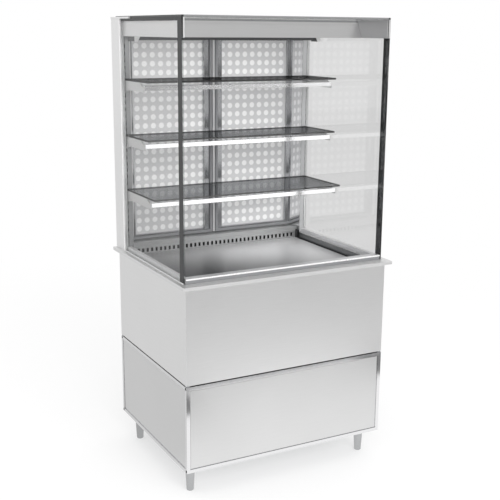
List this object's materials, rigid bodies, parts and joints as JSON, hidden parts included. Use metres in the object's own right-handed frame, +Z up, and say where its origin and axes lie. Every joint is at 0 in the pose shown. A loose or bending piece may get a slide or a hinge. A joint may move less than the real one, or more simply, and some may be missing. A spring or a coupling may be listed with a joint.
{
  "type": "refrigerated display case",
  "caption": "Free-standing open-front refrigerated display case with glass sides and roof, glass shelves, hinged rear doors and a steel cabinet on tapered feet.",
  "frame": {"origin": "centre of the bounding box's footprint, on the floor", "axes": "+X to the right seen from the customer side, +Y towards the service side with the doors, +Z up"},
  "size_m": [1, 0.8, 1.96],
  "materials": {
    "satin_steel": "satin brushed stainless steel",
    "polished_steel": "polished stainless steel",
    "zinc_steel": "zinc-coated sheet steel",
    "clear_glass": "clear toughened glass with a printed border",
    "smoked_glass": "grey tinted glass",
    "aluminium_frame": "anodised aluminium",
    "drawn_aluminium": "bright drawn aluminium",
    "dotted_panel": "printed with a dot pattern",
    "black_rubber": "matt",
    "grey_gasket": "soft grey PVC",
    "black_plastic": "matt",
    "grey_plastic": "matt",
    "milky_plastic": "milky diffuser",
    "insulation": "foamed",
    "black_enamel": "black enamel",
    "copper": "drawn copper tube",
    "fin_aluminium": "bare fins"
  },
  "bodies": {
    "cabinet": {"base_frame": "satin_steel", "base_plate": "zinc_steel", "lower_panels": "satin_steel", "rear_panels": "satin_steel", "casing_panels": "satin_steel", "inner_frame": "zinc_steel", "countertop": "satin_steel", "well_rim": "polished_steel", "well_liner": "satin_steel", "well_insulation": "insulation", "air_grille": "satin_steel", "evaporator": "fin_aluminium", "fan_plate": "zinc_steel", "drain_pipe": "grey_plastic", "condensate_tray": "zinc_steel", "compressor": "black_enamel", "compressor_mounts": "black_rubber", "condenser": "fin_aluminium", "condenser_shroud": "zinc_steel", "refrigerant_pipes": "copper", "control_box": "grey_plastic", "controller": "black_plastic", "cable_gland": "black_plastic", "left_side_glass": "clear_glass", "right_side_glass": "clear_glass", "glass_roof": "clear_glass", "rear_pillars": "satin_steel", "shelf_uprights": "zinc_steel", "canopy": "satin_steel", "top_side_plates": "satin_steel", "lamp_housing": "black_enamel", "lamp_cover": "milky_plastic", "shelf_brackets": "satin_steel", "shelf_rails": "drawn_aluminium", "door_surround": "aluminium_frame", "hinge_pins": "polished_steel"},
    "left_door": {"left_door_frame": "aluminium_frame", "left_door_panel": "dotted_panel", "left_door_seal": "grey_gasket", "left_door_handle": "polished_steel"},
    "right_door": {"right_door_frame": "aluminium_frame", "right_door_panel": "dotted_panel", "right_door_seal": "grey_gasket", "right_door_handle": "polished_steel"},
    "foot_front_left": {"foot_front_left": "satin_steel"},
    "foot_front_right": {"foot_front_right": "satin_steel"},
    "foot_rear_left": {"foot_rear_left": "satin_steel"},
    "foot_rear_right": {"foot_rear_right": "satin_steel"},
    "evaporator_fan_left": {"evaporator_fan_left": "black_plastic"},
    "evaporator_fan_right": {"evaporator_fan_right": "black_plastic"},
    "condenser_fan": {"condenser_fan": "black_plastic"},
    "upper_shelf": {"upper_shelf": "smoked_glass"},
    "middle_shelf": {"middle_shelf": "smoked_glass"},
    "lower_shelf": {"lower_shelf": "smoked_glass"},
    "display_pan": {"display_pan": "satin_steel"},
    "power_switch": {"power_switch": "black_plastic"},
    "light_switch": {"light_switch": "black_plastic"},
    "key_up": {"key_up": "grey_plastic"},
    "key_down": {"key_down": "grey_plastic"}
  },
  "joints": [
    {"name": "left_door_hinge", "type": "hinge", "parent": "cabinet", "child": "left_door", "pos_m": [-0.446, 0.381, 1.4], "axis": [0, 0, 1], "range_deg": [0, 100]},
    {"name": "right_door_hinge", "type": "hinge", "parent": "cabinet", "child": "right_door", "pos_m": [0.446, 0.381, 1.4], "axis": [0, 0, -1], "range_deg": [0, 100]},
    {"name": "foot_front_left_screw", "type": "slide", "parent": "cabinet", "child": "foot_front_left", "axis": [0, 0, -1], "range_m": [0, 0.025]},
    {"name": "foot_front_right_screw", "type": "slide", "parent": "cabinet", "child": "foot_front_right", "axis": [0, 0, -1], "range_m": [0, 0.025]},
    {"name": "foot_rear_left_screw", "type": "slide", "parent": "cabinet", "child": "foot_rear_left", "axis": [0, 0, -1], "range_m": [0, 0.025]},
    {"name": "foot_rear_right_screw", "type": "slide", "parent": "cabinet", "child": "foot_rear_right", "axis": [0, 0, -1], "range_m": [0, 0.025]},
    {"name": "evaporator_fan_left_spin", "type": "hinge", "parent": "cabinet", "child": "evaporator_fan_left", "pos_m": [-0.21, 0.19, 0.713], "axis": [0, 1, 0], "continuous": true},
    {"name": "evaporator_fan_right_spin", "type": "hinge", "parent": "cabinet", "child": "evaporator_fan_right", "pos_m": [0.21, 0.19, 0.713], "axis": [0, 1, 0], "continuous": true},
    {"name": "condenser_fan_spin", "type": "hinge", "parent": "cabinet", "child": "condenser_fan", "pos_m": [0.166, 0.11, 0.278], "axis": [1, 0, 0], "continuous": true},
    {"name": "upper_shelf_lift", "type": "slide", "parent": "cabinet", "child": "upper_shelf", "axis": [0, 0, 1], "range_m": [0, 0.04]},
    {"name": "middle_shelf_lift", "type": "slide", "parent": "cabinet", "child": "middle_shelf", "axis": [0, 0, 1], "range_m": [0, 0.04]},
    {"name": "lower_shelf_lift", "type": "slide", "parent": "cabinet", "child": "lower_shelf", "axis": [0, 0, 1], "range_m": [0, 0.04]},
    {"name": "display_pan_lift", "type": "slide", "parent": "cabinet", "child": "display_pan", "axis": [0, 0, 1], "range_m": [0, 0.15]},
    {"name": "power_switch_tilt", "type": "hinge", "parent": "cabinet", "child": "power_switch", "pos_m": [0.28, 0.377, 0.427], "axis": [-1, 0, 0], "range_deg": [0, 20]},
    {"name": "light_switch_tilt", "type": "hinge", "parent": "cabinet", "child": "light_switch", "pos_m": [0.325, 0.377, 0.427], "axis": [-1, 0, 0], "range_deg": [0, 20]},
    {"name": "key_up_press", "type": "slide", "parent": "cabinet", "child": "key_up", "axis": [0, -1, 0], "range_m": [0, 0.0015], "stiffness_N_per_m": 400},
    {"name": "key_down_press", "type": "slide", "parent": "cabinet", "child": "key_down", "axis": [0, -1, 0], "range_m": [0, 0.0015], "stiffness_N_per_m": 400}
  ]
}
